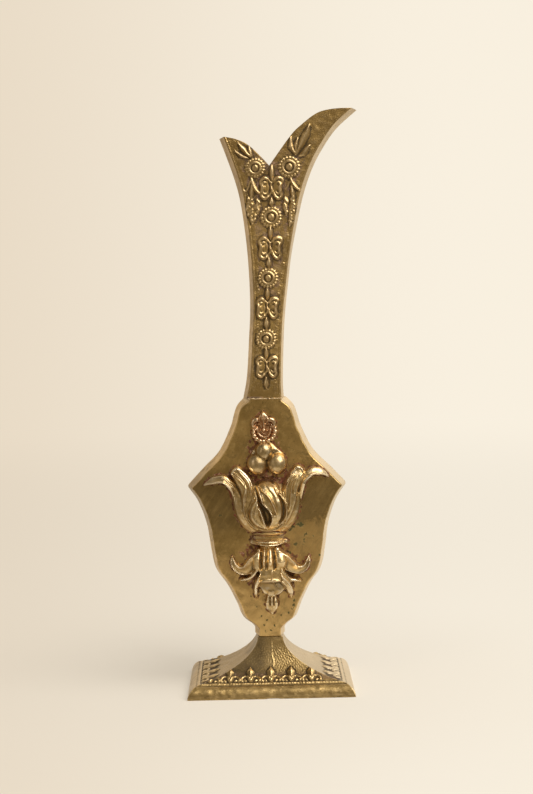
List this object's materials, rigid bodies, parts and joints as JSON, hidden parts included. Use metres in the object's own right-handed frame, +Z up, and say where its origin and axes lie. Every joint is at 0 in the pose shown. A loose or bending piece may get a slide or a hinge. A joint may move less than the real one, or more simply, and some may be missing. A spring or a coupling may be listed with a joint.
{
  "type": "bud vase",
  "caption": "Tall flat brass bud vase with a swallowtail mouth, shield-shaped body with applied flower mounts, and a flared rectangular foot.",
  "frame": {"origin": "on the surface that the vase stands on, under the middle of the vase's box; the foot's own axis is 3.65 mm towards -X of it, because the right horn overhangs the foot", "axes": "+Z up; -Y is the front, which faces the viewer in the picture; +X is the side of the taller horn"},
  "size_m": [0.0932, 0.0614, 0.2995],
  "materials": {
    "plate_brass": "aged, brushed, brown patina",
    "neck_brass": "aged cast relief with dark ground",
    "mount_brass": "rubbed bright on the high points, dark in the hollows",
    "copper_brass": "copper-toned brass, rubbed",
    "foot_brass": "aged cast, stippled",
    "hardware_brass": "dull machined"
  },
  "bodies": {
    "root": {"foot": "foot_brass", "foot_stud": "hardware_brass", "foot_washer": "hardware_brass", "foot_nut": "hardware_brass", "stem_plug": "hardware_brass", "neck_sleeve": "hardware_brass", "body_front": "plate_brass", "neck_front": "neck_brass", "palmette_front": "copper_brass", "berries_front": "mount_brass", "tulip_front": "mount_brass", "collar_front": "mount_brass", "calyx_front": "mount_brass", "drop_front": "mount_brass", "palmette_rivet_front": "hardware_brass", "tulip_rivet_front": "hardware_brass", "calyx_rivet_front": "hardware_brass", "body_back": "plate_brass", "neck_back": "neck_brass", "palmette_back": "copper_brass", "berries_back": "mount_brass", "tulip_back": "mount_brass", "collar_back": "mount_brass", "calyx_back": "mount_brass", "drop_back": "mount_brass", "palmette_rivet_back": "hardware_brass", "tulip_rivet_back": "hardware_brass", "calyx_rivet_back": "hardware_brass"}
  },
  "joints": []
}
